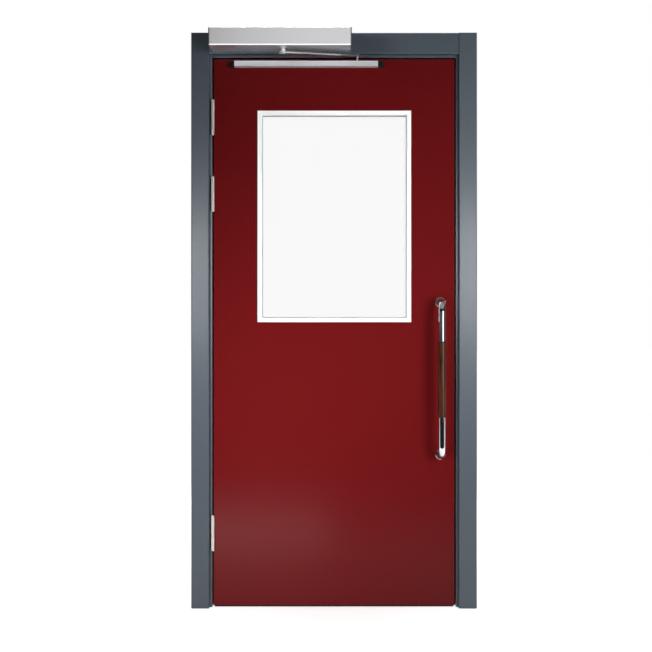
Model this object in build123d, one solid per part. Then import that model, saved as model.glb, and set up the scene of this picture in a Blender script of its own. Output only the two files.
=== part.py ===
from build123d import *

import os
from math import atan2, degrees, hypot

# Single-leaf fire door in its frame, seen from the pull side, with a slide-arm door operator.
# Millimetres. X runs from the hinge side to the closing side, Y away from the pull side, Z up.
# The origin is on the hinge jamb's wall face, at floor level and half way through the jamb's depth.

# Door leaf
LEAF_WIDTH = 900.0
LEAF_HEIGHT = 2040.0
LEAF_THICKNESS = 54.0
FACING_THICKNESS = 3.0
LEAF_ARRIS = 1.5
FLOOR_GAP = 7.0

# Glazed opening in the leaf
WINDOW_FROM_HINGE_EDGE = 164.5
WINDOW_WIDTH = 573.0
WINDOW_HEIGHT = 789.0
TOP_RAIL = 193.0
GLASS_THICKNESS = 16.0
GLASS_EDGE_GAP = 4.0
BEAD_WIDTH = 16.0
BEAD_PROUD = 3.0
BEAD_ROUND = 2.0
MITRE_GAP = 0.2

# Frame
LEAF_GAP = 5.0
STOP_GAP = 5.0
JAMB_WIDTH = 40.0
STOP_WIDTH = 15.0
STOP_DEPTH = 41.0
CASING_MARGIN = 9.0
CASING_WIDTH = 67.5
HEAD_CASING_MARGIN = 10.0
HEAD_CASING_WIDTH = 79.0
CASING_THICKNESS = 24.0
CASING_ROUND = 4.5
CASING_JOINT_ROUND = 2.0
SEAL_WIDTH = 10.0
SEAL_DEPTH = 3.0
SEAL_FROM_STOP = 8.0
FIXING_HOLE_RADIUS = 5.0
FIXING_FROM_FLOOR = 300.0
FIXING_FROM_HEAD = 184.0
FIXING_SPACING = 600.0

# Butt hinges
HINGE_AXIS_PROUD = 9.0
LOWER_HINGE_FROM_LEAF_FOOT = 206.5
MIDDLE_HINGE_FROM_LEAF_TOP = 440.0
UPPER_HINGE_FROM_LEAF_TOP = 155.0
HINGE_NAMES = ("lower", "middle", "upper")
HINGE_FLIPPED = (False, True, False)
LONG_KNUCKLE = 48.0
LEAF_KNUCKLE = 50.0
SHORT_KNUCKLE = 29.0
KNUCKLE_GAP = 0.5
KNUCKLE_RADIUS = 6.5
HINGE_PIN_RADIUS = 3.0
HINGE_PLATE_THICKNESS = 2.5
HINGE_PLATE_DEPTH = 35.0
RUNNING_CLEARANCE = 0.05

# Door operator on the head casing
OPERATOR_LENGTH = 520.0
OPERATOR_HEIGHT = 65.0
OPERATOR_DEPTH = 126.0
OPERATOR_FROM_HINGE_AXIS = -2.7
OPERATOR_BELOW_TOP = 6.0
COVER_WALL = 2.5
COVER_TOP_ROUND = 3.0
COVER_LOWER_ROUND = 6.5
END_CAP_THICKNESS = 4.0
BACKPLATE_THICKNESS = 4.0
BACKPLATE_GAP = 0.5
DRIVE_END_GAP = 40.0
DRIVE_COVER_GAP = 6.0
SPINDLE_FROM_HINGE_AXIS = 266.0
SPINDLE_FROM_CASING = 58.0
SPINDLE_RADIUS = 8.0
SPINDLE_HOLE_GAP = 5.0
SPINDLE_IN_DRIVE = 30.0
HUB_RADIUS = 10.5
HUB_ABOVE_ARM = 4.0

# Arm and slide block
ARM_ABOVE_LEAF = 5.0
ARM_THICKNESS = 5.0
ARM_HUB_RADIUS = 15.0
ARM_TIP_RADIUS = 9.0
ARM_PIN_RADIUS = 3.5
ARM_PIN_HEAD_RADIUS = 7.0
ARM_PIN_HEAD_HEIGHT = 2.0
ARM_BALANCE = 0.8
BLOCK_LENGTH = 30.0
BLOCK_SIDE_GAP = 4.5
BLOCK_END_GAP = 1.5

# Slide track on the leaf
TRACK_FROM_HINGE_AXIS = 59.5
TRACK_LENGTH = 579.5
TRACK_CAP_LENGTH = 23.0
TRACK_CAP_TIP = 7.0
TRACK_DEPTH = 36.0
TRACK_HEIGHT = 19.5
TRACK_WALL = 2.5
TRACK_SLOT = 16.0
TRACK_BELOW_LEAF_TOP = 12.5

# Pull handle
HANDLE_FROM_EDGE = 53.0
HANDLE_LOWER_FIXING = 571.0
HANDLE_CENTRES = 568.0
HANDLE_STANDOFF = 80.0
HANDLE_RADIUS = 13.0
HANDLE_BEND = 36.0
GRIP_LENGTH = 280.0
GRIP_RADIUS = 14.75
GRIP_CHAMFER = 1.0
SPIGOT_RADIUS = 7.0
SPIGOT_LENGTH = 25.0
SPIGOT_GAP = 0.1
ROSE_RADIUS = 19.0
ROSE_THICKNESS = 7.0
ROSE_ROUND = 2.0
ROSE_GAP = 0.1
BOLT_CAP_RADIUS = 10.0
BOLT_CAP_THICKNESS = 4.0

# Drop seal under the leaf
DROP_SEAL_SETBACK = 4.0
DROP_SEAL_FLOOR_GAP = 1.5
DROP_SEAL_END_GAP = 4.0

# Places that follow from the sizes
JAMB_DEPTH = LEAF_THICKNESS + STOP_GAP + STOP_DEPTH
FRONT_Y = -JAMB_DEPTH / 2
REAR_Y = JAMB_DEPTH / 2
STOP_Y = FRONT_Y + LEAF_THICKNESS + STOP_GAP
LEAF_BACK_Y = FRONT_Y + LEAF_THICKNESS
LEAF_X0 = JAMB_WIDTH + LEAF_GAP
LEAF_X1 = LEAF_X0 + LEAF_WIDTH
LEAF_Z0 = FLOOR_GAP
LEAF_Z1 = FLOOR_GAP + LEAF_HEIGHT
FRAME_X1 = LEAF_X1 + LEAF_GAP + JAMB_WIDTH
HEAD_Z0 = LEAF_Z1 + LEAF_GAP
HEAD_Z1 = HEAD_Z0 + JAMB_WIDTH
CASING_Y = FRONT_Y - CASING_THICKNESS
HEAD_CASING_Z0 = HEAD_Z0 + HEAD_CASING_MARGIN
CASING_Z1 = HEAD_CASING_Z0 + HEAD_CASING_WIDTH
SEAL_Y0 = STOP_Y - SEAL_FROM_STOP - SEAL_WIDTH
SEAL_Y1 = STOP_Y - SEAL_FROM_STOP
LOWER_FIXINGS = (FIXING_FROM_FLOOR, FIXING_FROM_FLOOR + FIXING_SPACING)
UPPER_FIXINGS = (HEAD_Z1 - FIXING_FROM_HEAD - FIXING_SPACING, HEAD_Z1 - FIXING_FROM_HEAD)

AXIS_X = JAMB_WIDTH + LEAF_GAP / 2
AXIS_Y = FRONT_Y - HINGE_AXIS_PROUD
HINGE_LENGTH = LONG_KNUCKLE + LEAF_KNUCKLE + SHORT_KNUCKLE + 2 * KNUCKLE_GAP
HINGE_BOTTOMS = (
    LEAF_Z0 + LOWER_HINGE_FROM_LEAF_FOOT,
    LEAF_Z1 - MIDDLE_HINGE_FROM_LEAF_TOP - HINGE_LENGTH,
    LEAF_Z1 - UPPER_HINGE_FROM_LEAF_TOP - HINGE_LENGTH,
)

WINDOW_X0 = LEAF_X0 + WINDOW_FROM_HINGE_EDGE
WINDOW_X1 = WINDOW_X0 + WINDOW_WIDTH
WINDOW_Z1 = LEAF_Z1 - TOP_RAIL
WINDOW_Z0 = WINDOW_Z1 - WINDOW_HEIGHT
GLASS_Y0 = FRONT_Y + (LEAF_THICKNESS - GLASS_THICKNESS) / 2
GLASS_Y1 = GLASS_Y0 + GLASS_THICKNESS

TRACK_Y = FRONT_Y - TRACK_DEPTH / 2
TRACK_Z1 = LEAF_Z1 - TRACK_BELOW_LEAF_TOP
TRACK_Z0 = TRACK_Z1 - TRACK_HEIGHT
TRACK_X0 = AXIS_X + TRACK_FROM_HINGE_AXIS
TRACK_X1 = TRACK_X0 + TRACK_LENGTH

OPERATOR_X0 = AXIS_X + OPERATOR_FROM_HINGE_AXIS
OPERATOR_X1 = OPERATOR_X0 + OPERATOR_LENGTH
OPERATOR_Z1 = CASING_Z1 - OPERATOR_BELOW_TOP
OPERATOR_Z0 = OPERATOR_Z1 - OPERATOR_HEIGHT
OPERATOR_Y = CASING_Y - OPERATOR_DEPTH
COVER_X0 = OPERATOR_X0 + END_CAP_THICKNESS
COVER_X1 = OPERATOR_X1 - END_CAP_THICKNESS
DRIVE_Z0 = OPERATOR_Z0 + COVER_WALL + DRIVE_COVER_GAP

# The arm turns twice as far as the leaf when its two ends lie equally far along the leaf from the spindle.
# The track line is a little in front of the hinge axis, and the balance spreads that error over the swing.
SPINDLE_X = AXIS_X + SPINDLE_FROM_HINGE_AXIS
SPINDLE_Y = CASING_Y - SPINDLE_FROM_CASING
ARM_PIN_X = SPINDLE_X + SPINDLE_FROM_HINGE_AXIS + ARM_BALANCE * (AXIS_Y - TRACK_Y)
ARM_PIN_Y = TRACK_Y
ARM_LENGTH = hypot(ARM_PIN_X - SPINDLE_X, ARM_PIN_Y - SPINDLE_Y)
ARM_ANGLE = degrees(atan2(ARM_PIN_Y - SPINDLE_Y, ARM_PIN_X - SPINDLE_X))
ARM_Z0 = LEAF_Z1 + ARM_ABOVE_LEAF
ARM_Z1 = ARM_Z0 + ARM_THICKNESS

HANDLE_X = LEAF_X1 - HANDLE_FROM_EDGE
HANDLE_Y = FRONT_Y - HANDLE_STANDOFF
HANDLE_HEIGHTS = (HANDLE_LOWER_FIXING, HANDLE_LOWER_FIXING + HANDLE_CENTRES)
HANDLE_MIDDLE = HANDLE_LOWER_FIXING + HANDLE_CENTRES / 2


def block(x0, x1, y0, y1, z0, z1):
    """A box between two corners."""
    return Pos((x0 + x1) / 2, (y0 + y1) / 2, (z0 + z1) / 2) * Box(x1 - x0, y1 - y0, z1 - z0)


def upright(x, y, z0, z1, radius):
    """A cylinder standing along Z."""
    return Pos(x, y, (z0 + z1) / 2) * Cylinder(radius, z1 - z0)


def rod_y(x, z, y0, y1, radius):
    """A cylinder lying along Y."""
    return Pos(x, (y0 + y1) / 2, z) * Rot(90, 0, 0) * Cylinder(radius, y1 - y0)


def prism(points, z0, z1):
    """An outline in plan, drawn up from z0 to z1."""
    return Pos(0, 0, z0) * extrude(make_face(Polyline(*points, close=True)), z1 - z0)


# Hinges
def knuckle_spans(bottom, flipped):
    """The heights of the lower, middle and upper knuckle."""
    lower = LONG_KNUCKLE if flipped else SHORT_KNUCKLE
    leaf_start = bottom + lower + KNUCKLE_GAP
    leaf_end = leaf_start + LEAF_KNUCKLE
    top = bottom + HINGE_LENGTH
    return (bottom, bottom + lower), (leaf_start, leaf_end), (leaf_end + KNUCKLE_GAP, top)


def hinge_plate(x0, x1, bottom, spans):
    """A mortised plate with the knuckles it carries; the other plate's knuckles pass in front of it."""
    top = bottom + HINGE_LENGTH
    plate = block(x0, x1, FRONT_Y, FRONT_Y + HINGE_PLATE_DEPTH, bottom, top)
    for z0, z1 in spans:
        plate += block(x0, x1, AXIS_Y, FRONT_Y, z0, z1)
        plate += upright(AXIS_X, AXIS_Y, z0, z1, KNUCKLE_RADIUS)
    bore = upright(AXIS_X, AXIS_Y, bottom, top, HINGE_PIN_RADIUS + RUNNING_CLEARANCE)
    return plate - bore


def mortises(x0, x1):
    """The pockets for the three plates on one side."""
    return [
        block(x0, x1, FRONT_Y, FRONT_Y + HINGE_PLATE_DEPTH, z, z + HINGE_LENGTH) for z in HINGE_BOTTOMS
    ]


def hinges():
    nodes = {}
    pins = []
    for name, bottom, flipped in zip(HINGE_NAMES, HINGE_BOTTOMS, HINGE_FLIPPED):
        low, middle, high = knuckle_spans(bottom, flipped)
        jamb_side = (JAMB_WIDTH - HINGE_PLATE_THICKNESS, JAMB_WIDTH)
        leaf_side = (LEAF_X0, LEAF_X0 + HINGE_PLATE_THICKNESS)
        nodes[f"{name}_hinge_frame_plate"] = hinge_plate(*jamb_side, bottom, (low, high))
        nodes[f"{name}_hinge_leaf_plate"] = hinge_plate(*leaf_side, bottom, (middle,))
        pins.append(upright(AXIS_X, AXIS_Y, bottom, bottom + HINGE_LENGTH, HINGE_PIN_RADIUS))
    nodes["hinge_pins"] = Compound(pins)
    return nodes


# Frame
def side_jamb(mirrored):
    """A rebated jamb; the closing jamb is the hinge jamb turned about the middle of the frame."""
    stop_x = JAMB_WIDTH + STOP_WIDTH
    outline = [
        (0, FRONT_Y), (JAMB_WIDTH, FRONT_Y), (JAMB_WIDTH, STOP_Y),
        (stop_x, STOP_Y), (stop_x, REAR_Y), (0, REAR_Y),
    ]
    jamb = prism(outline, 0, HEAD_Z1)
    jamb -= block(JAMB_WIDTH - SEAL_DEPTH, JAMB_WIDTH, SEAL_Y0, SEAL_Y1, 0, HEAD_Z0)
    fixing_y = (STOP_Y + REAR_Y) / 2
    for z in LOWER_FIXINGS + UPPER_FIXINGS:
        jamb -= Pos(stop_x / 2, fixing_y, z) * Rot(0, 90, 0) * Cylinder(FIXING_HOLE_RADIUS, stop_x)
    if mirrored:
        return mirror(jamb, Plane.YZ.offset(FRAME_X1 / 2))
    for pocket in mortises(JAMB_WIDTH - HINGE_PLATE_THICKNESS, JAMB_WIDTH):
        jamb -= pocket
    return jamb


def head_jamb():
    stop_x0 = JAMB_WIDTH + STOP_WIDTH
    head = block(JAMB_WIDTH, FRAME_X1 - JAMB_WIDTH, FRONT_Y, STOP_Y, HEAD_Z0, HEAD_Z1)
    head += block(stop_x0, FRAME_X1 - stop_x0, STOP_Y, REAR_Y, HEAD_Z0 - STOP_WIDTH, HEAD_Z1)
    return head - head_seal()


def side_seal(mirrored):
    seal = block(JAMB_WIDTH - SEAL_DEPTH, JAMB_WIDTH, SEAL_Y0, SEAL_Y1, 0, HEAD_Z0)
    return mirror(seal, Plane.YZ.offset(FRAME_X1 / 2)) if mirrored else seal


def head_seal():
    x0 = JAMB_WIDTH
    return block(x0, FRAME_X1 - x0, SEAL_Y0, SEAL_Y1, HEAD_Z0, HEAD_Z0 + SEAL_DEPTH)


def casing_board(x0, x1, z0, z1, along):
    """A flat board with its two long front edges rounded."""
    board = block(x0, x1, CASING_Y, FRONT_Y, z0, z1)
    front = board.edges().filter_by(along).sort_by(Axis.Y)[:2]
    return fillet(front, CASING_ROUND)


def head_casing(x0, x1):
    """The head board; its ends are eased too, so that its joints with the side boards show."""
    board = casing_board(x0, x1, HEAD_CASING_Z0, CASING_Z1, Axis.X)
    ends = board.edges().filter_by(Axis.Z).sort_by(Axis.Y)[:2]
    return fillet(ends, CASING_JOINT_ROUND)


def frame():
    inner = JAMB_WIDTH - CASING_MARGIN
    outer = inner - CASING_WIDTH
    return {
        "hinge_jamb": side_jamb(False),
        "closing_jamb": side_jamb(True),
        "head_jamb": head_jamb(),
        "hinge_side_seal": side_seal(False),
        "closing_side_seal": side_seal(True),
        "head_seal": head_seal(),
        "hinge_side_casing": casing_board(outer, inner, 0, CASING_Z1, Axis.Z),
        "closing_side_casing": casing_board(FRAME_X1 - inner, FRAME_X1 - outer, 0, CASING_Z1, Axis.Z),
        "head_casing": head_casing(inner, FRAME_X1 - inner),
    }


# Leaf
def facing(y0, y1, outer_side):
    """A facing sheet with the window cut through it and its outer edges eased."""
    sheet = block(LEAF_X0, LEAF_X1, y0, y1, LEAF_Z0, LEAF_Z1)
    face = sheet.faces().sort_by(Axis.Y)[0 if outer_side < 0 else -1]
    sheet = fillet(face.edges(), LEAF_ARRIS)
    return sheet - block(WINDOW_X0, WINDOW_X1, y0, y1, WINDOW_Z0, WINDOW_Z1)


def leaf():
    core_y0 = FRONT_Y + FACING_THICKNESS
    core_y1 = LEAF_BACK_Y - FACING_THICKNESS
    hinge_stile = block(LEAF_X0, WINDOW_X0, core_y0, core_y1, LEAF_Z0, LEAF_Z1)
    front_facing = facing(FRONT_Y, core_y0, -1)
    for pocket in mortises(LEAF_X0, LEAF_X0 + HINGE_PLATE_THICKNESS):
        hinge_stile -= pocket
        front_facing -= pocket
    return {
        "hinge_stile": hinge_stile,
        "closing_stile": block(WINDOW_X1, LEAF_X1, core_y0, core_y1, LEAF_Z0, LEAF_Z1),
        "top_rail": block(WINDOW_X0, WINDOW_X1, core_y0, core_y1, WINDOW_Z1, LEAF_Z1),
        "lower_panel": block(WINDOW_X0, WINDOW_X1, core_y0, core_y1, LEAF_Z0, WINDOW_Z0),
        "front_facing": front_facing,
        "rear_facing": facing(core_y1, LEAF_BACK_Y, 1),
        "drop_seal": block(
            LEAF_X0 + DROP_SEAL_END_GAP, LEAF_X1 - DROP_SEAL_END_GAP,
            FRONT_Y + DROP_SEAL_SETBACK, LEAF_BACK_Y - DROP_SEAL_SETBACK,
            DROP_SEAL_FLOOR_GAP, LEAF_Z0,
        ),
    }


# Glazing
def bead_ring(y0, y1, proud_side):
    """Four mitred beads round the window, from the glass to just proud of the leaf."""
    ring = block(WINDOW_X0, WINDOW_X1, y0, y1, WINDOW_Z0, WINDOW_Z1)
    ring -= block(
        WINDOW_X0 + BEAD_WIDTH, WINDOW_X1 - BEAD_WIDTH, y0, y1, WINDOW_Z0 + BEAD_WIDTH, WINDOW_Z1 - BEAD_WIDTH
    )
    proud_face = ring.faces().sort_by(Axis.Y)[0 if proud_side < 0 else -1]
    inner_wire = proud_face.inner_wires()[0]
    ring = fillet(inner_wire.edges(), BEAD_ROUND)
    reach = 2 * BEAD_WIDTH
    for x in (WINDOW_X0, WINDOW_X1):
        for z in (WINDOW_Z0, WINDOW_Z1):
            tilt = -45 if (x == WINDOW_X0) == (z == WINDOW_Z0) else 45
            ring -= Pos(x, (y0 + y1) / 2, z) * Rot(0, tilt, 0) * Box(2 * reach, y1 - y0, MITRE_GAP)
    return ring


def glazing():
    gap = GLASS_EDGE_GAP
    return {
        "glass_pane": block(
            WINDOW_X0 + gap, WINDOW_X1 - gap, GLASS_Y0, GLASS_Y1, WINDOW_Z0 + gap, WINDOW_Z1 - gap
        ),
        "front_glazing_beads": bead_ring(FRONT_Y - BEAD_PROUD, GLASS_Y0, -1),
        "rear_glazing_beads": bead_ring(GLASS_Y1, LEAF_BACK_Y + BEAD_PROUD, 1),
    }


# Pull handle
def handle_end(fixing_z, towards):
    """A round bar that leaves the leaf, bends along it and ends in a spigot inside the grip."""
    grip_z = HANDLE_MIDDLE - towards * GRIP_LENGTH / 2
    points = [(HANDLE_X, FRONT_Y, fixing_z), (HANDLE_X, HANDLE_Y, fixing_z), (HANDLE_X, HANDLE_Y, grip_z)]
    path = FilletPolyline(*points, radius=HANDLE_BEND)
    section = Plane(points[0], z_dir=(0, -1, 0)) * Circle(HANDLE_RADIUS)
    bar = sweep(section, path)
    spigot_z = grip_z + towards * SPIGOT_LENGTH
    return bar + upright(HANDLE_X, HANDLE_Y, min(grip_z, spigot_z), max(grip_z, spigot_z), SPIGOT_RADIUS)


def handle_grip():
    z0 = HANDLE_MIDDLE - GRIP_LENGTH / 2
    z1 = HANDLE_MIDDLE + GRIP_LENGTH / 2
    grip = upright(HANDLE_X, HANDLE_Y, z0, z1, GRIP_RADIUS)
    grip = chamfer(grip.edges().filter_by(GeomType.CIRCLE), GRIP_CHAMFER)
    socket = SPIGOT_LENGTH + SPIGOT_GAP
    grip -= upright(HANDLE_X, HANDLE_Y, z0, z0 + socket, SPIGOT_RADIUS + SPIGOT_GAP)
    grip -= upright(HANDLE_X, HANDLE_Y, z1 - socket, z1, SPIGOT_RADIUS + SPIGOT_GAP)
    return grip


def handle():
    roses = []
    caps = []
    for z in HANDLE_HEIGHTS:
        rose = rod_y(HANDLE_X, z, FRONT_Y - ROSE_THICKNESS, FRONT_Y, ROSE_RADIUS)
        rose = fillet(rose.faces().sort_by(Axis.Y)[0].edges(), ROSE_ROUND)
        roses.append(rose - rod_y(HANDLE_X, z, FRONT_Y - ROSE_THICKNESS, FRONT_Y, HANDLE_RADIUS + ROSE_GAP))
        cap = rod_y(HANDLE_X, z, LEAF_BACK_Y, LEAF_BACK_Y + BOLT_CAP_THICKNESS, BOLT_CAP_RADIUS)
        caps.append(fillet(cap.faces().sort_by(Axis.Y)[-1].edges(), BOLT_CAP_THICKNESS / 2))
    return {
        "handle_lower_end": handle_end(HANDLE_HEIGHTS[0], 1),
        "handle_upper_end": handle_end(HANDLE_HEIGHTS[1], -1),
        "handle_grip": handle_grip(),
        "handle_roses": Compound(roses),
        "handle_bolt_caps": Compound(caps),
    }


# Operator
def operator_profile(x0, x1, inset):
    """The operator's section: straight at the back, a small round on top and a larger one under the front."""
    solid = block(
        x0, x1, OPERATOR_Y + inset, CASING_Y, OPERATOR_Z0 + inset, OPERATOR_Z1 - inset
    )
    lower = solid.edges().filter_by(Axis.X).sort_by(Axis.Z)[:2].sort_by(Axis.Y)[0]
    solid = fillet(lower, COVER_LOWER_ROUND - inset)
    upper = solid.edges().filter_by(Axis.X).sort_by(Axis.Z)[-2:].sort_by(Axis.Y)[0]
    return fillet(upper, COVER_TOP_ROUND - inset)


def operator_cover():
    """An extruded cover: top, front and underside, open at the back, with a hole for the spindle."""
    shell = operator_profile(COVER_X0, COVER_X1, 0) - operator_profile(COVER_X0, COVER_X1, COVER_WALL)
    hole = SPINDLE_RADIUS + SPINDLE_HOLE_GAP
    return shell - upright(SPINDLE_X, SPINDLE_Y, OPERATOR_Z0, OPERATOR_Z0 + COVER_WALL, hole)


def operator_end(x0):
    return operator_profile(x0, x0 + END_CAP_THICKNESS, 0)


def operator_drive():
    """The closed drive unit on the backplate, with the spindle's bearing bore."""
    inside = COVER_WALL + DRIVE_COVER_GAP
    unit = block(
        COVER_X0 + DRIVE_END_GAP, COVER_X1 - DRIVE_END_GAP,
        OPERATOR_Y + inside, CASING_Y - BACKPLATE_THICKNESS,
        DRIVE_Z0, OPERATOR_Z1 - inside,
    )
    bore_z1 = DRIVE_Z0 + SPINDLE_IN_DRIVE
    return unit - upright(SPINDLE_X, SPINDLE_Y, DRIVE_Z0, bore_z1, SPINDLE_RADIUS + RUNNING_CLEARANCE)


def operator():
    inside = COVER_WALL + BACKPLATE_GAP
    return {
        "operator_cover": operator_cover(),
        "operator_left_end": operator_end(OPERATOR_X0),
        "operator_right_end": operator_end(COVER_X1),
        "operator_backplate": block(
            COVER_X0, COVER_X1, CASING_Y - BACKPLATE_THICKNESS, CASING_Y,
            OPERATOR_Z0 + inside, OPERATOR_Z1 - inside,
        ),
        "operator_drive": operator_drive(),
    }


# Arm
def drive_spindle():
    """The spindle runs in the drive unit and widens to a tapered hub that carries the arm."""
    top = DRIVE_Z0 + SPINDLE_IN_DRIVE - BACKPLATE_GAP
    outline = [
        (0, ARM_Z0), (HUB_RADIUS, ARM_Z0), (HUB_RADIUS, ARM_Z1),
        (SPINDLE_RADIUS, ARM_Z1 + HUB_ABOVE_ARM), (SPINDLE_RADIUS, top), (0, top),
    ]
    profile = make_face(Plane.XZ * Polyline(*outline, close=True))
    return Pos(SPINDLE_X, SPINDLE_Y, 0) * revolve(profile, Axis.Z)


def operator_arm():
    """A flat bar, round at both ends and tapering to the pin."""
    hub = Circle(ARM_HUB_RADIUS)
    tip = Pos(ARM_LENGTH, 0) * Circle(ARM_TIP_RADIUS)
    outline = make_hull((hub + tip).edges())
    bar = Pos(SPINDLE_X, SPINDLE_Y, ARM_Z0) * Rot(0, 0, ARM_ANGLE) * extrude(outline, ARM_THICKNESS)
    bar -= upright(SPINDLE_X, SPINDLE_Y, ARM_Z0, ARM_Z1, HUB_RADIUS + RUNNING_CLEARANCE)
    return bar - upright(ARM_PIN_X, ARM_PIN_Y, ARM_Z0, ARM_Z1, ARM_PIN_RADIUS + RUNNING_CLEARANCE)


def arm_pin():
    block_z0 = TRACK_Z0 + TRACK_WALL + BLOCK_END_GAP
    pin = upright(ARM_PIN_X, ARM_PIN_Y, block_z0, ARM_Z1, ARM_PIN_RADIUS)
    head = upright(ARM_PIN_X, ARM_PIN_Y, ARM_Z1, ARM_Z1 + ARM_PIN_HEAD_HEIGHT, ARM_PIN_HEAD_RADIUS)
    return pin + head


def slide_block():
    half_width = TRACK_DEPTH / 2 - TRACK_WALL - BLOCK_SIDE_GAP
    z0 = TRACK_Z0 + TRACK_WALL + BLOCK_END_GAP
    z1 = TRACK_Z1 - TRACK_WALL - BLOCK_END_GAP
    half = BLOCK_LENGTH / 2
    body = block(
        ARM_PIN_X - half, ARM_PIN_X + half, ARM_PIN_Y - half_width, ARM_PIN_Y + half_width, z0, z1
    )
    body = fillet(body.edges().filter_by(Axis.Z), half_width / 2)
    return body - upright(ARM_PIN_X, ARM_PIN_Y, z0, z1, ARM_PIN_RADIUS + RUNNING_CLEARANCE)


# Track
def slide_track():
    """A channel on the leaf, with a slot along its top."""
    x0 = TRACK_X0 + TRACK_CAP_LENGTH
    x1 = TRACK_X1 - TRACK_CAP_LENGTH
    y0 = FRONT_Y - TRACK_DEPTH
    channel = block(x0, x1, y0, FRONT_Y, TRACK_Z0, TRACK_Z1)
    channel -= block(
        x0, x1, y0 + TRACK_WALL, FRONT_Y - TRACK_WALL, TRACK_Z0 + TRACK_WALL, TRACK_Z1 - TRACK_WALL
    )
    return channel - block(
        x0, x1, TRACK_Y - TRACK_SLOT / 2, TRACK_Y + TRACK_SLOT / 2, TRACK_Z1 - TRACK_WALL, TRACK_Z1
    )


def track_cap(inner_x, outer_x):
    """A cap that tapers back to the leaf."""
    outline = [
        (inner_x, FRONT_Y), (inner_x, FRONT_Y - TRACK_DEPTH), (outer_x, FRONT_Y - TRACK_CAP_TIP), (outer_x, FRONT_Y),
    ]
    return prism(outline, TRACK_Z0, TRACK_Z1)


def track():
    return {
        "slide_track": slide_track(),
        "track_left_cap": track_cap(TRACK_X0 + TRACK_CAP_LENGTH, TRACK_X0),
        "track_right_cap": track_cap(TRACK_X1 - TRACK_CAP_LENGTH, TRACK_X1),
    }


def arm():
    return {
        "drive_spindle": drive_spindle(),
        "operator_arm": operator_arm(),
        "arm_pin": arm_pin(),
        "slide_block": slide_block(),
    }


def main():
    os.makedirs("parts", exist_ok=True)
    for group in (frame, hinges, leaf, glazing, handle, operator, arm, track):
        for name, shape in group().items():
            export_step(shape, f"parts/{name}.step")


main()
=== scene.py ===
from math import cos, pi, sin

import bmesh
import bpy
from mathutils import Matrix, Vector


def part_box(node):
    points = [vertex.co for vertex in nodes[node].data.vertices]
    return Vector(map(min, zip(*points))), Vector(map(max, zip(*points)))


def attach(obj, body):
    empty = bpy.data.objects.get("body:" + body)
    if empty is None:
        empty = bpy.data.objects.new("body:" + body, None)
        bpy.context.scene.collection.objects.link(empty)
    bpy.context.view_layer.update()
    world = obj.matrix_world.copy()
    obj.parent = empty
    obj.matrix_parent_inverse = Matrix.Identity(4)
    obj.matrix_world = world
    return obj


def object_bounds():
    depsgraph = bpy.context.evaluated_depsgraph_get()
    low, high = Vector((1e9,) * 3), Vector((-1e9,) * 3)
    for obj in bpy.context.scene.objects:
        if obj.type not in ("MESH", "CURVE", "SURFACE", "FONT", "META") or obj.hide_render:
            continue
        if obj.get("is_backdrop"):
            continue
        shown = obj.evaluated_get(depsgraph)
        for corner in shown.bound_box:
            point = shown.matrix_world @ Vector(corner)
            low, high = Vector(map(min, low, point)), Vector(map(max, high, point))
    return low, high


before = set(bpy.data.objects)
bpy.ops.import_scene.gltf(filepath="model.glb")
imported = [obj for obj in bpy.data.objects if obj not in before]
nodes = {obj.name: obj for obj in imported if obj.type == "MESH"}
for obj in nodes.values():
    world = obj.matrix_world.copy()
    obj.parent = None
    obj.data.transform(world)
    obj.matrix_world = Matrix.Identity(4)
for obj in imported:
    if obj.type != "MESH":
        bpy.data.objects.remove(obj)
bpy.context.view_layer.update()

# Camera, matched to the photograph
LEAF_FACE_Y = -0.050
CAMERA_DISTANCE = 4.878
SENSOR_WIDTH = 36.0
CAMERA_X = 0.5194
CAMERA_Z = 1.1142
FOCAL_PIXELS = 1306.0
IMAGE_PIXELS = 652.0
AXIS_PIXEL_X = 340.6
AXIS_PIXEL_Y = 308.9

camera_data = bpy.data.cameras.new("camera")
camera_data.sensor_width = SENSOR_WIDTH
camera_data.lens = SENSOR_WIDTH * FOCAL_PIXELS / IMAGE_PIXELS
camera_data.shift_x = (IMAGE_PIXELS / 2 - AXIS_PIXEL_X) / IMAGE_PIXELS
camera_data.shift_y = (AXIS_PIXEL_Y - IMAGE_PIXELS / 2) / IMAGE_PIXELS
camera = bpy.data.objects.new("camera", camera_data)
camera.location = (CAMERA_X, LEAF_FACE_Y - CAMERA_DISTANCE, CAMERA_Z)
camera.rotation_euler = (pi / 2, 0, 0)
bpy.context.collection.objects.link(camera)
bpy.context.scene.camera = camera
bpy.context.scene.view_settings.view_transform = "Standard"

# Materials
MILLIMETRE = 0.001
ALONG_X = (0.02, 1.0, 1.0)
ALONG_Z = (1.0, 1.0, 0.02)
EVEN = (1.0, 1.0, 1.0)
NOISE_LOW = 0.2
NOISE_HIGH = 0.8
TINT_START = 0.3
TINT_SPAN = 0.4


def linear(red, green, blue):
    """A screen colour, 0 to 255, as linear light."""
    values = []
    for channel in (red, green, blue):
        value = channel / 255
        values.append(value / 12.92 if value <= 0.04045 else ((value + 0.055) / 1.055) ** 2.4)
    return (*values, 1.0)


def new_material(name):
    made = bpy.data.materials.new(name)
    made.use_nodes = True
    return made, made.node_tree, made.node_tree.nodes["Principled BSDF"]


def noise(tree, scale, stretch=EVEN, detail=3.0):
    """Noise laid out in the object's own metres, with scale as waves per metre."""
    places = tree.nodes.new("ShaderNodeTexCoord")
    mapping = tree.nodes.new("ShaderNodeMapping")
    mapping.inputs["Scale"].default_value = stretch
    texture = tree.nodes.new("ShaderNodeTexNoise")
    texture.inputs["Scale"].default_value = scale
    texture.inputs["Detail"].default_value = detail
    tree.links.new(places.outputs["Object"], mapping.inputs["Vector"])
    tree.links.new(mapping.outputs["Vector"], texture.inputs["Vector"])
    return texture.outputs["Fac"]


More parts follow.
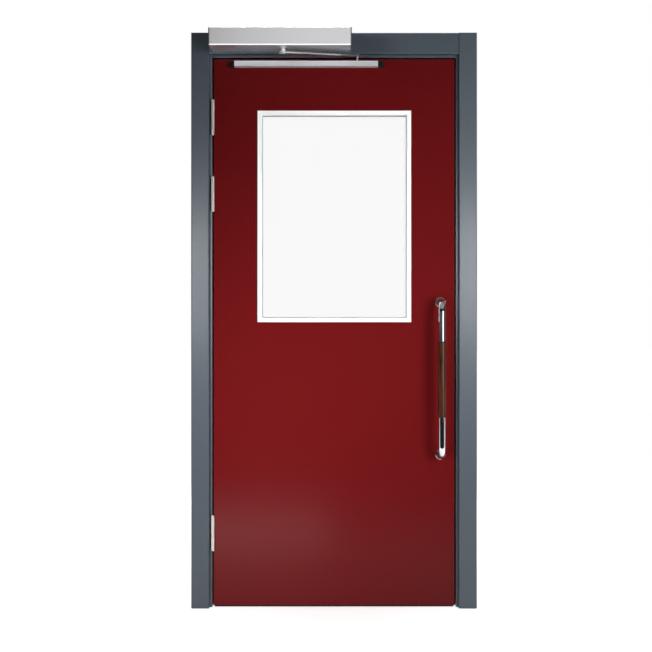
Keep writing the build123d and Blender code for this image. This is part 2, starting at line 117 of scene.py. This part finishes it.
def spread(tree, factor, low, high):
    """The middle of a noise spread between two values."""
    ranged = tree.nodes.new("ShaderNodeMapRange")
    ranged.inputs["From Min"].default_value = NOISE_LOW
    ranged.inputs["From Max"].default_value = NOISE_HIGH
    ranged.inputs["To Min"].default_value = low
    ranged.inputs["To Max"].default_value = high
    tree.links.new(factor, ranged.inputs["Value"])
    return ranged.outputs["Result"]


def ramp(tree, factor, stops):
    """Colours along a factor, from (position, colour) stops in rising order."""
    made = tree.nodes.new("ShaderNodeValToRGB")
    stripes = made.color_ramp.elements
    while len(stripes) < len(stops):
        stripes.new(0.5)
    for index, (position, colour) in enumerate(stops):
        stripes[index].position = position
        stripes[index].color = colour
    tree.links.new(factor, made.inputs["Fac"])
    return made.outputs["Color"]


def tint(tree, factor, *colours):
    """Colours along the middle of a noise, darkest first."""
    last = len(colours) - 1
    stops = [(TINT_START + TINT_SPAN * index / last, colour) for index, colour in enumerate(colours)]
    return ramp(tree, factor, stops)


def relief(tree, shader, factor, depth, edge):
    """A fine bump over edges that are eased by a small radius."""
    eased = tree.nodes.new("ShaderNodeBevel")
    eased.samples = 4
    eased.inputs["Radius"].default_value = edge
    bump = tree.nodes.new("ShaderNodeBump")
    bump.inputs["Strength"].default_value = 1.0
    bump.inputs["Distance"].default_value = depth
    tree.links.new(factor, bump.inputs["Height"])
    tree.links.new(eased.outputs["Normal"], bump.inputs["Normal"])
    tree.links.new(bump.outputs["Normal"], shader.inputs["Normal"])


def finish(name, dark, light, roughness, grain, stretch=EVEN, depth=0.00002, edge=0.0008,
           metallic=0.0, specular=0.5, patches=4.0):
    """A painted, moulded or brushed surface: grain in its colour and bump, patches in its gloss."""
    made, tree, shader = new_material(name)
    fine = noise(tree, grain, stretch)
    broad = noise(tree, patches, detail=0.0)
    tree.links.new(tint(tree, fine, dark, light), shader.inputs["Base Color"])
    tree.links.new(spread(tree, broad, *roughness), shader.inputs["Roughness"])
    relief(tree, shader, fine, depth, edge)
    shader.inputs["Metallic"].default_value = metallic
    shader.inputs["Specular IOR Level"].default_value = specular
    return made


def wood(name, colours, roughness):
    """Straight grain along Z: broad bands that wander, with fine pores in them."""
    made, tree, shader = new_material(name)
    bands = noise(tree, scale=150.0, stretch=(1.0, 1.0, 0.06), detail=5.0)
    pores = noise(tree, scale=1100.0, stretch=(1.0, 1.0, 0.03), detail=2.0)
    tree.links.new(tint(tree, bands, *colours), shader.inputs["Base Color"])
    tree.links.new(spread(tree, pores, *roughness), shader.inputs["Roughness"])
    relief(tree, shader, pores, depth=0.00004, edge=0.001)
    shader.inputs["Specular IOR Level"].default_value = 0.5
    return made


def clear_glass(name):
    """Polished glass with the faint waviness of float glass."""
    made, tree, shader = new_material(name)
    waves = noise(tree, scale=6.0, detail=1.0)
    shader.inputs["Base Color"].default_value = linear(253, 253, 253)
    shader.inputs["Roughness"].default_value = 0.0
    shader.inputs["IOR"].default_value = 1.5
    shader.inputs["Transmission Weight"].default_value = 1.0
    bump = tree.nodes.new("ShaderNodeBump")
    bump.inputs["Strength"].default_value = 1.0
    bump.inputs["Distance"].default_value = 0.00001
    tree.links.new(waves, bump.inputs["Height"])
    tree.links.new(bump.outputs["Normal"], shader.inputs["Normal"])
    return made


slate = finish("frame_paint", linear(71, 79, 87), linear(77, 85, 93), (0.31, 0.35), 700.0,
               depth=0.00003, edge=0.0015, specular=0.45, patches=3.0)
red = finish("leaf_laminate", linear(99, 18, 20), linear(105, 20, 22), (0.22, 0.26), 800.0,
             depth=0.00003, edge=0.001, specular=0.13, patches=2.5)
red_edge = finish("leaf_edge_paint", linear(92, 16, 19), linear(104, 19, 22), (0.45, 0.55), 500.0,
                  ALONG_Z, depth=0.00006, specular=0.25)
white = finish("bead_white", linear(246, 246, 245), linear(252, 252, 251), (0.35, 0.45), 600.0,
               specular=0.4)
hinge_metal = finish("hinge_satin", linear(218, 214, 209), linear(232, 228, 223), (0.36, 0.44), 900.0,
                     ALONG_Z, depth=0.00001, metallic=0.25)
chrome = finish("handle_chrome", linear(222, 222, 224), linear(232, 232, 233), (0.06, 0.1), 60.0,
                depth=0.000002, metallic=1.0, patches=40.0)
silver = finish("operator_anodised", linear(240, 240, 242), linear(247, 247, 249), (0.28, 0.32), 900.0,
                ALONG_X, depth=0.00001, metallic=0.84)
track_metal = finish("track_anodised", linear(232, 235, 238), linear(240, 243, 246), (0.42, 0.5), 900.0,
                     ALONG_X, depth=0.000015, metallic=0.25)
end_grey = finish("operator_end_plastic", linear(84, 82, 81), linear(98, 96, 95), (0.45, 0.6), 1500.0,
                  depth=0.00004)
cast = finish("drive_casting", linear(110, 112, 115), linear(132, 134, 137), (0.5, 0.65), 900.0,
              depth=0.00012, metallic=0.8)
steel = finish("linkage_steel", linear(228, 228, 228), linear(240, 240, 240), (0.18, 0.25), 900.0,
               ALONG_X, depth=0.00001, metallic=0.25)
arm_steel = finish("arm_polished_steel", linear(238, 236, 236), linear(247, 245, 245), (0.12, 0.2), 900.0,
                   ALONG_X, depth=0.00001, metallic=0.92)
black = finish("black_plastic", linear(18, 18, 18), linear(28, 28, 28), (0.45, 0.6), 1600.0,
               depth=0.00004)
rubber = finish("seal_rubber", linear(17, 17, 17), linear(27, 27, 27), (0.6, 0.75), 900.0,
                depth=0.00006, specular=0.3)
cream = finish("slide_plastic", linear(222, 214, 192), linear(234, 227, 208), (0.3, 0.4), 1200.0)
gasket_grey = finish("gasket_grey", linear(176, 178, 180), linear(194, 196, 198), (0.5, 0.6), 1200.0)
walnut = wood("grip_walnut", (linear(38, 17, 8), linear(66, 32, 17), linear(88, 46, 26)), (0.2, 0.26))
glass = clear_glass("fire_glass")

# Nodes that share a finish or a lamp
HINGES = ("lower", "middle", "upper")
JAMB_NODES = ("hinge_jamb", "closing_jamb")
HEAD_FRAME_NODES = ("head_jamb", "head_casing")
FRAME_NODES = JAMB_NODES + HEAD_FRAME_NODES + ("hinge_side_casing", "closing_side_casing")
OPERATOR_END_NODES = ("operator_left_end", "operator_right_end")
PIVOT_NODES = ("drive_spindle", "arm_pin")


def paint(made, *names):
    for name in names:
        piece = nodes[name]
        piece.data.materials.clear()
        piece.data.materials.append(made)


paint(slate, *FRAME_NODES)
paint(red, "front_facing", "rear_facing")
paint(red_edge, "hinge_stile", "closing_stile", "top_rail", "lower_panel")
paint(white, "front_glazing_beads", "rear_glazing_beads")
paint(glass, "glass_pane")
paint(chrome, "handle_lower_end", "handle_upper_end", "handle_roses", "handle_bolt_caps")
paint(walnut, "handle_grip")
paint(silver, "operator_cover")
paint(track_metal, "slide_track")
paint(end_grey, *OPERATOR_END_NODES)
paint(black, "track_left_cap", "track_right_cap")
paint(rubber, "drop_seal", "hinge_side_seal", "closing_side_seal", "head_seal")
paint(steel, *PIVOT_NODES)
paint(arm_steel, "operator_arm")
paint(cast, "operator_backplate", "operator_drive")
paint(hinge_metal, "hinge_pins")
paint(cream, "slide_block")
for height in HINGES:
    paint(hinge_metal, f"{height}_hinge_frame_plate", f"{height}_hinge_leaf_plate")

# Small pieces, built as meshes in the frame's own metres
TURNS = 32
CROSS = 4
HEXAGON = 6
# Shares of a screw head's radius and height
CROSS_NARROW = 0.3
CROSS_WIDE = 0.6
HEXAGON_FLAT = 0.5
SHOULDER_RADIUS = 0.94
SHOULDER_HEIGHT = 0.6
FACE_RADIUS = 0.78
RECESS_TAPER = 0.9
RECESS_FLOOR = 0.15


def across(direction):
    """Two unit vectors square to a direction and to each other."""
    along = Vector(direction).normalized()
    helper = Vector((0, 0, 1)) if abs(along.z) < 0.9 else Vector((1, 0, 0))
    first = along.cross(helper).normalized()
    return along, first, along.cross(first)


def ring(mesh, centre, direction, height, radii):
    """A closed row of points round a direction; each point has its own radius."""
    along, first, second = across(direction)
    points = []
    for index, radius in enumerate(radii):
        angle = 2 * pi * index / len(radii)
        offset = first * (radius * cos(angle)) + second * (radius * sin(angle))
        points.append(mesh.verts.new(Vector(centre) + along * height + offset))
    return points


def skin(mesh, rows, closed_end=True):
    """Faces between rows of points, with the last row filled."""
    count = len(rows[0])
    for lower, upper in zip(rows, rows[1:]):
        for index in range(count):
            after = (index + 1) % count
            mesh.faces.new((lower[index], lower[after], upper[after], upper[index]))
    if closed_end:
        mesh.faces.new(rows[-1])


def turned(mesh, centre, direction, profile):
    """A shape turned round a direction, from (radius, height) points."""
    rows = [ring(mesh, centre, direction, height, [radius] * TURNS) for radius, height in profile]
    skin(mesh, rows)


def screw(mesh, centre, direction, radius, height, lobes):
    """A low round screw head with a cross or hexagon recess."""
    if lobes == CROSS:
        quarter = TURNS // CROSS
        narrow, wide = CROSS_NARROW * radius, CROSS_WIDE * radius
        recess = [wide if step % quarter in (0, 1, quarter - 1) else narrow for step in range(TURNS)]
    else:
        side = 2 * pi / lobes
        flat = HEXAGON_FLAT * radius
        recess = [flat / cos((2 * pi * step / TURNS) % side - side / 2) for step in range(TURNS)]
    rows = [
        ring(mesh, centre, direction, 0.0, [radius] * TURNS),
        ring(mesh, centre, direction, SHOULDER_HEIGHT * height, [SHOULDER_RADIUS * radius] * TURNS),
        ring(mesh, centre, direction, height, [FACE_RADIUS * radius] * TURNS),
        ring(mesh, centre, direction, height, recess),
        ring(mesh, centre, direction, RECESS_FLOOR * height, [RECESS_TAPER * reach for reach in recess]),
    ]
    skin(mesh, rows)


def loop_strip(mesh, low, high, profile):
    """A picture-frame strip: each (inset, y) point of the profile makes one rectangle."""
    rows = []
    for inset, y in profile:
        x0, x1 = low[0] + inset, high[0] - inset
        z0, z1 = low[1] + inset, high[1] - inset
        corners = ((x0, y, z0), (x1, y, z0), (x1, y, z1), (x0, y, z1))
        rows.append([mesh.verts.new(corner) for corner in corners])
    skin(mesh, rows, closed_end=False)


def straight(mesh, start, end, outline):
    """A bar from start to end with an outline given as offsets square to its length."""
    rows = []
    for end_point in (start, end):
        rows.append([mesh.verts.new(Vector(end_point) + Vector(offset)) for offset in outline])
    mesh.faces.new(rows[0])
    skin(mesh, rows)


def piece_from(name, mesh, made, body):
    """One named piece that rides on a body."""
    bmesh.ops.recalc_face_normals(mesh, faces=mesh.faces)
    data = bpy.data.meshes.new(name)
    mesh.to_mesh(data)
    mesh.free()
    data.materials.append(made)
    made_piece = bpy.data.objects.new(name, data)
    bpy.context.collection.objects.link(made_piece)
    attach(made_piece, body)


def middle(node):
    low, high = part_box(node)
    return (Vector(low) + Vector(high)) / 2


# Screws of the hinge plates, on the faces that meet when the leaf is shut
PLATE_SCREW_RADIUS = 3.6 * MILLIMETRE
PLATE_SCREW_HEIGHT = 0.5 * MILLIMETRE
PLATE_FACE_FRAME_X = 0.040
PLATE_FACE_LEAF_X = 0.045
PLATE_ROWS_Y = (-0.0235, -0.0375)
PLATE_SCREW_INSETS = (0.016, 0.046)
PLATE_FACES = {"frame": (PLATE_FACE_FRAME_X, (1, 0, 0)), "leaf": (PLATE_FACE_LEAF_X, (-1, 0, 0))}
for body, (face_x, direction) in PLATE_FACES.items():
    screws = bmesh.new()
    for height in HINGES:
        low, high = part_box(f"{height}_hinge_{body}_plate")
        for inset, y in zip(PLATE_SCREW_INSETS, PLATE_ROWS_Y):
            for z in (low[2] + inset, high[2] - inset):
                screw(screws, (face_x, y, z), direction, PLATE_SCREW_RADIUS, PLATE_SCREW_HEIGHT, CROSS)
    piece_from(f"hinge_screws_{body}", screws, steel, body)

# Domed tips of the hinge pins
TIP_PROFILE = ((0.0058, 0.0), (0.0058, 0.0012), (0.0048, 0.0024), (0.0028, 0.0031), (0.0012, 0.0033))
tips = bmesh.new()
axis = middle("hinge_pins")
for height in HINGES:
    low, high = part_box(f"{height}_hinge_frame_plate")
    turned(tips, (axis.x, axis.y, high[2]), (0, 0, 1), TIP_PROFILE)
    turned(tips, (axis.x, axis.y, low[2]), (0, 0, -1), TIP_PROFILE)
piece_from("hinge_pin_tips", tips, hinge_metal, "frame")

# Painted shadow: dark strips on the jamb beside each knuckle, where the knuckle's shadow falls
SHADOW_STRIP_LEFT_X = 0.0312
SHADOW_STRIP_RIGHT_X = 0.0394
SHADOW_STRIP_PROUD = 0.5 * MILLIMETRE
SHADOW_STRIP_EASE = 0.2 * MILLIMETRE
SHADOW_STRIP_OUTLINE = ((SHADOW_STRIP_LEFT_X, 0, 0), (SHADOW_STRIP_RIGHT_X, 0, 0), (SHADOW_STRIP_RIGHT_X, SHADOW_STRIP_EASE - SHADOW_STRIP_PROUD, 0),
               (SHADOW_STRIP_RIGHT_X - SHADOW_STRIP_EASE, -SHADOW_STRIP_PROUD, 0), (SHADOW_STRIP_LEFT_X + SHADOW_STRIP_EASE, -SHADOW_STRIP_PROUD, 0),
               (SHADOW_STRIP_LEFT_X, SHADOW_STRIP_EASE - SHADOW_STRIP_PROUD, 0))
shadow_strips = bmesh.new()
for height in HINGES:
    low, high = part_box(f"{height}_hinge_frame_plate")
    straight(shadow_strips, (0, LEAF_FACE_Y, low[2]), (0, LEAF_FACE_Y, high[2]), SHADOW_STRIP_OUTLINE)
piece_from("hinge_painted_shadow_strips", shadow_strips, black, "frame")

# Screws of the operator's end caps
END_SCREW_RADIUS = 3.2 * MILLIMETRE
END_SCREW_HEIGHT = 0.6 * MILLIMETRE
END_SCREW_INSET_Y = 0.022
screws = bmesh.new()
for node, face, direction in zip(OPERATOR_END_NODES, (0, 1), ((-1, 0, 0), (1, 0, 0))):
    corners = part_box(node)
    centre = middle(node)
    for y in (corners[0][1] + END_SCREW_INSET_Y, corners[1][1] - END_SCREW_INSET_Y):
        screw(screws, (corners[face][0], y, centre.z), direction, END_SCREW_RADIUS, END_SCREW_HEIGHT, CROSS)
piece_from("operator_end_screws", screws, steel, "frame")

# Socket screw that holds the arm on the spindle
HUB_SCREW_RADIUS = 0.0062
HUB_SCREW_HEIGHT = 0.0012
hub_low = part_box("drive_spindle")[0]
hub_centre = middle("drive_spindle")
hub_place = (hub_centre.x, hub_centre.y, hub_low[2])
hub_screw = bmesh.new()
screw(hub_screw, hub_place, (0, 0, -1), HUB_SCREW_RADIUS, HUB_SCREW_HEIGHT, HEXAGON)
piece_from("arm_hub_screw", hub_screw, steel, "arm")

# Glazing gaskets between the beads and the glass, front and rear
GASKET_WIDTH = 2.2 * MILLIMETRE
GASKET_PROUD = 1.6 * MILLIMETRE
# Shares of that width and height, from the bead to the glass
GASKET_PROFILE = ((0.0, 1.4), (0.5, 1.0), (1.0, 0.3), (1.0, 0.0))
SIGHT_LOW = (0.2255, 1.081)
SIGHT_HIGH = (0.7665, 1.838)
glass_low, glass_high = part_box("glass_pane")
for name, face_y, out in (("front_gasket", glass_low[1], -1), ("rear_gasket", glass_high[1], 1)):
    strip = bmesh.new()
    profile = []
    for inset, proud in GASKET_PROFILE:
        profile.append((GASKET_WIDTH * inset, face_y + out * GASKET_PROUD * proud))
    loop_strip(strip, SIGHT_LOW, SIGHT_HIGH, profile)
    piece_from(name, strip, gasket_grey, "leaf")

# Soft fins on the jamb seals
FIN_REACH = 2.6 * MILLIMETRE
FIN_ROOT = 0.9 * MILLIMETRE
FIN_TIP = 0.35 * MILLIMETRE


def fin_outline(x_out, z_out):
    """The section of a fin that leans out from a seal's face."""
    x, z = x_out * FIN_REACH, z_out * FIN_REACH
    return (0, -FIN_ROOT, 0), (0, FIN_ROOT, 0), (x, FIN_ROOT + FIN_TIP, z), (x, FIN_ROOT, z)


fins = bmesh.new()
for node, out in (("hinge_side_seal", 1), ("closing_side_seal", -1)):
    low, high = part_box(node)
    face_x = high[0] if out > 0 else low[0]
    y = (low[1] + high[1]) / 2
    straight(fins, (face_x, y, low[2]), (face_x, y, high[2]), fin_outline(out, 0))
low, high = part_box("head_seal")
y = (low[1] + high[1]) / 2
straight(fins, (low[0], y, low[2]), (high[0], y, low[2]), fin_outline(0, -1))
piece_from("jamb_seal_fins", fins, rubber, "frame")

# Washers and sockets of the handle's bolts, on the rear face
WASHER_RIM = 0.004
WASHER_SHOULDER = 0.0034
WASHER_RIM_HEIGHT = 0.0008
WASHER_HEIGHT = 0.0012
SOCKET_SHARE = 0.7
SOCKET_HEIGHT = 0.0012
cap_low, cap_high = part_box("handle_bolt_caps")
cap_centre = middle("handle_bolt_caps")
cap_radius = (cap_high[0] - cap_low[0]) / 2
washer_profile = (
    (cap_radius + WASHER_RIM, 0.0),
    (cap_radius + WASHER_RIM, WASHER_RIM_HEIGHT),
    (cap_radius + WASHER_SHOULDER, WASHER_HEIGHT),
    (cap_radius, WASHER_HEIGHT),
)
bolts = bmesh.new()
for z in (cap_low[2] + cap_radius, cap_high[2] - cap_radius):
    turned(bolts, (cap_centre.x, cap_low[1], z), (0, 1, 0), washer_profile)
    socket_place = (cap_centre.x, cap_high[1], z)
    screw(bolts, socket_place, (0, 1, 0), cap_radius * SOCKET_SHARE, SOCKET_HEIGHT, HEXAGON)
piece_from("handle_bolt_washers", bolts, chrome, "leaf")

# World: white for what the camera, metal and glass see, dimmer as a light
AMBIENT = 0.02
world = bpy.data.worlds.new("studio")
world.use_nodes = True
bpy.context.scene.world = world
world_tree = world.node_tree
background = world_tree.nodes["Background"]
background.inputs["Color"].default_value = (1, 1, 1, 1)


def seen_rays(tree):
    """One where a camera, glossy or transmission ray looks, and nothing for other rays."""
    path = tree.nodes.new("ShaderNodeLightPath")
    result = path.outputs["Is Camera Ray"]
    for kind in ("Is Glossy Ray", "Is Transmission Ray"):
        either = tree.nodes.new("ShaderNodeMath")
        either.operation = "MAXIMUM"
        tree.links.new(result, either.inputs[0])
        tree.links.new(path.outputs[kind], either.inputs[1])
        result = either.outputs[0]
    return result


world_level = world_tree.nodes.new("ShaderNodeMapRange")
world_level.inputs["To Min"].default_value = AMBIENT
world_level.inputs["To Max"].default_value = 1.0
world_tree.links.new(seen_rays(world_tree), world_level.inputs["Value"])
world_tree.links.new(world_level.outputs["Result"], background.inputs["Strength"])


# Stage: a pale floor, and the dark room that the metal mirrors
def plane(name, corners, made):
    mesh = bmesh.new()
    mesh.faces.new([mesh.verts.new(corner) for corner in corners])
    data = bpy.data.meshes.new(name)
    mesh.to_mesh(data)
    mesh.free()
    data.materials.append(made)
    made_plane = bpy.data.objects.new(name, data)
    bpy.context.collection.objects.link(made_plane)
    made_plane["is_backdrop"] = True
    return made_plane


DOOR_MIDDLE_X = 0.5
FLOOR_Z = -0.0005
FLOOR_REACH = 30.0
FLOOR_GLOW = 1.0
# Glow of the paper at the door's foot, lowered as painted shade
FOOT_SHADE_GLOW = 0.7
FOOT_REACH = 1.1
floor_paint, floor_tree, floor_shader = new_material("floor_paper")
floor_shader.inputs["Base Color"].default_value = (0.9, 0.9, 0.9, 1)
floor_gloss = spread(floor_tree, noise(floor_tree, 300.0), 0.85, 0.95)
floor_tree.links.new(floor_gloss, floor_shader.inputs["Roughness"])
floor_shader.inputs["Specular IOR Level"].default_value = 0.1
floor_shader.inputs["Emission Color"].default_value = (1, 1, 1, 1)
# Painted shade: the paper glows a little less in a round pool at the door's foot, so the floor is darker
# there and the shadow shows
foot_places = floor_tree.nodes.new("ShaderNodeTexCoord")
foot_offset = floor_tree.nodes.new("ShaderNodeMapping")
foot_offset.inputs["Location"].default_value = (-DOOR_MIDDLE_X / FOOT_REACH, 0, 0)
foot_offset.inputs["Scale"].default_value = (1 / FOOT_REACH, 1 / FOOT_REACH, 1)
painted_foot_shade = floor_tree.nodes.new("ShaderNodeTexGradient")
painted_foot_shade.gradient_type = "SPHERICAL"
glow = floor_tree.nodes.new("ShaderNodeMapRange")
glow.inputs["To Min"].default_value = FLOOR_GLOW
glow.inputs["To Max"].default_value = FOOT_SHADE_GLOW
floor_seen = floor_tree.nodes.new("ShaderNodeMath")
floor_seen.operation = "MULTIPLY"
floor_tree.links.new(foot_places.outputs["Object"], foot_offset.inputs["Vector"])
floor_tree.links.new(foot_offset.outputs["Vector"], painted_foot_shade.inputs["Vector"])
floor_tree.links.new(painted_foot_shade.outputs["Fac"], glow.inputs["Value"])
floor_tree.links.new(glow.outputs["Result"], floor_seen.inputs[0])
floor_tree.links.new(seen_rays(floor_tree), floor_seen.inputs[1])
floor_tree.links.new(floor_seen.outputs[0], floor_shader.inputs["Emission Strength"])


def level_sheet(x0, x1, y0, y1, z):
    """Corners of a level rectangle."""
    return (x0, y0, z), (x1, y0, z), (x1, y1, z), (x0, y1, z)


plane("floor", level_sheet(-FLOOR_REACH, FLOOR_REACH, -FLOOR_REACH, FLOOR_REACH, FLOOR_Z), floor_paint)

ROOM_REACH = 9.0
ROOM_HEIGHT = 6.0
ROOM_FLOOR_Z = 0.002
PAPER_FRONT_Y = -1.9


def room_finish(name, stops):
    """A matt wall that glows by its height: (share of the room's height, colour) stops."""
    made, tree, shader = new_material(name)
    shader.inputs["Base Color"].default_value = linear(8, 8, 8)
    shader.inputs["Roughness"].default_value = 1.0
    shader.inputs["Specular IOR Level"].default_value = 0.0
    shader.inputs["Emission Strength"].default_value = 1.0
    places = tree.nodes.new("ShaderNodeTexCoord")
    axes = tree.nodes.new("ShaderNodeSeparateXYZ")
    share = tree.nodes.new("ShaderNodeMapRange")
    share.inputs["From Max"].default_value = ROOM_HEIGHT
    tree.links.new(places.outputs["Object"], axes.inputs["Vector"])
    tree.links.new(axes.outputs["Z"], share.inputs["Value"])
    tree.links.new(ramp(tree, share.outputs["Result"], stops), shader.inputs["Emission Color"])
    return made


def upright(x0, x1, y0, y1):
    """Corners of a wall that stands on a line from (x0, y0) to (x1, y1)."""
    return (x0, y0, 0), (x1, y1, 0), (x1, y1, ROOM_HEIGHT), (x0, y0, ROOM_HEIGHT)


ROOM_STOPS = ((0.10, linear(30, 30, 32)), (0.16, linear(96, 94, 98)), (0.45, linear(20, 20, 22)))
PALE_TOP = (0.70, linear(150, 150, 152))
room_dark = room_finish("room_dark", ROOM_STOPS)
room_pale = room_finish("room_pale", ROOM_STOPS + (PALE_TOP,))
LEFT_X, RIGHT_X = DOOR_MIDDLE_X - ROOM_REACH, DOOR_MIDDLE_X + ROOM_REACH
ROOM_WALLS = {
    "room_front": (room_dark, upright(LEFT_X, RIGHT_X, -ROOM_REACH, -ROOM_REACH)),
    "room_rear": (room_pale, upright(LEFT_X, RIGHT_X, ROOM_REACH, ROOM_REACH)),
    "room_left": (room_dark, upright(LEFT_X, LEFT_X, -ROOM_REACH, ROOM_REACH)),
    "room_right": (room_dark, upright(RIGHT_X, RIGHT_X, -ROOM_REACH, ROOM_REACH)),
    "room_ceiling": (room_pale, level_sheet(LEFT_X, RIGHT_X, -ROOM_REACH, ROOM_REACH, ROOM_HEIGHT)),
    "room_floor": (room_dark, level_sheet(LEFT_X, RIGHT_X, -ROOM_REACH, PAPER_FRONT_Y, ROOM_FLOOR_Z)),
}
for name, (made, corners) in ROOM_WALLS.items():
    wall = plane(name, corners, made)
    wall.visible_camera = False
    wall.visible_transmission = False
    wall.visible_diffuse = False
    wall.visible_shadow = False


def area_light(name, place, target, size, power, angle):
    """A soft box; a narrow spread keeps its light near its aim, as a grid does."""
    data = bpy.data.lights.new(name, "AREA")
    data.shape = "RECTANGLE"
    data.size, data.size_y = size
    data.energy = power
    data.spread = angle * pi / 180
    made = bpy.data.objects.new(name, data)
    made.location = place
    made.rotation_euler = (Vector(target) - Vector(place)).to_track_quat("-Z", "Y").to_euler()
    bpy.context.collection.objects.link(made)
    return made


def light_only(lamp, names):
    """Keep a lamp's light on the named nodes."""
    receivers = bpy.data.collections.new(lamp.name + "_receivers")
    for name in names:
        receivers.objects.link(nodes[name])
    lamp.light_linking.receiver_collection = receivers


# Soft boxes: place, aim, size, power, spread in degrees, and whether polished metal mirrors them
SOFT_BOXES = {
    "left_box": ((-0.5, -2.4, 0.9), (0.2, 0, 0.95), (0.6, 0.6), 2.6, 50, False),
    "left_low_box": ((-0.5, -2.4, 0.4), (0.2, 0, 0.45), (0.6, 0.5), 2.2, 50, False),
    "right_box": ((2.0, -1.8, 1.0), (0.8, 0, 1.0), (0.8, 0.8), 7.7, 180, True),
    "right_grid_box": ((1.7, -2.0, 1.0), (0.7, 0, 1.0), (0.7, 0.6), 2.8, 70, False),
    "right_low_box": ((1.9, -1.8, 0.4), (0.7, 0, 0.5), (0.7, 0.4), 1.9, 90, False),
    "right_high_box": ((2.4, -1.9, 2.2), (0.8, 0, 1.6), (0.8, 0.8), 2.3, 180, False),
    "right_top_box": ((1.9, -2.2, 1.9), (0.8, 0, 1.8), (0.8, 0.6), 4.0, 70, False),
    "side_left_box": ((-2.6, -0.7, 1.2), (0, -0.5, 1.1), (1.0, 1.6), 12, 180, False),
    "rear_left_box": ((-1.4, 2.6, 1.5), (0.5, 0, 1.1), (1.2, 1.6), 48, 180, False),
    "rear_right_box": ((2.4, 2.6, 1.5), (0.5, 0, 1.1), (1.2, 1.6), 48, 180, False),
}
for name, (place, target, size, power, angle, mirrored) in SOFT_BOXES.items():
    lamp = area_light(name, place, target, size, power, angle)
    lamp.visible_glossy = mirrored
    lamp.data.cycles.use_multiple_importance_sampling = mirrored

# Small lamps for some nodes only: place, aim, size, power, spread in degrees, and the nodes
LEFT_FRAME_NODES = JAMB_NODES + ("hinge_side_casing",)
RIGHT_FRAME_NODES = JAMB_NODES + ("closing_side_casing",)
COVER_NODES = ("operator_cover",) + OPERATOR_END_NODES
UNDERSIDE_NODES = COVER_NODES + PIVOT_NODES
HEAD_NODES = UNDERSIDE_NODES + ("operator_arm",)
SMALL_LAMPS = {
    "frame_lamp_left": ((-0.25, -1.9, 1.3), (0.0, 0, 1.24), (0.3, 0.5), 3.6, 110, LEFT_FRAME_NODES),
    "frame_lamp_right": ((1.25, -1.9, 1.31), (1.0, 0, 1.3), (0.3, 0.5), 11.6, 180, RIGHT_FRAME_NODES),
    "head_frame_lamp": ((-3.0, -3.0, 2.45), (0.6, 0, 2.1), (1.4, 0.8), 102.0, 180, HEAD_FRAME_NODES),
    "leaf_lamp": ((0.0, -1.15, 0.1), (0.15, 0, 0.3), (0.9, 0.18), 1.7, 180, ("front_facing",)),
    "bead_lamp": ((0.5, -3.0, 1.5), (0.5, 0, 1.45), (1.5, 1.0), 20.0, 180, ("front_glazing_beads",)),
    "head_lamp": ((0.8, -3.2, 2.75), (0.7, -0.15, 2.1), (2.2, 1.4), 7.5, 180, HEAD_NODES),
    "top_lamp": ((0.5, 0.0, 4.0), (0.5, 0.0, 0.0), (2.0, 0.3), 30.0, 180, FRAME_NODES + COVER_NODES),
    "head_low_lamp": ((0.4, -1.6, 0.7), (0.35, -0.15, 2.1), (2.0, 2.2), 16.0, 180, UNDERSIDE_NODES),
}
for name, (place, target, size, power, angle, receivers) in SMALL_LAMPS.items():
    light_only(area_light(name, place, target, size, power, angle), receivers)

low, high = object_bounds()
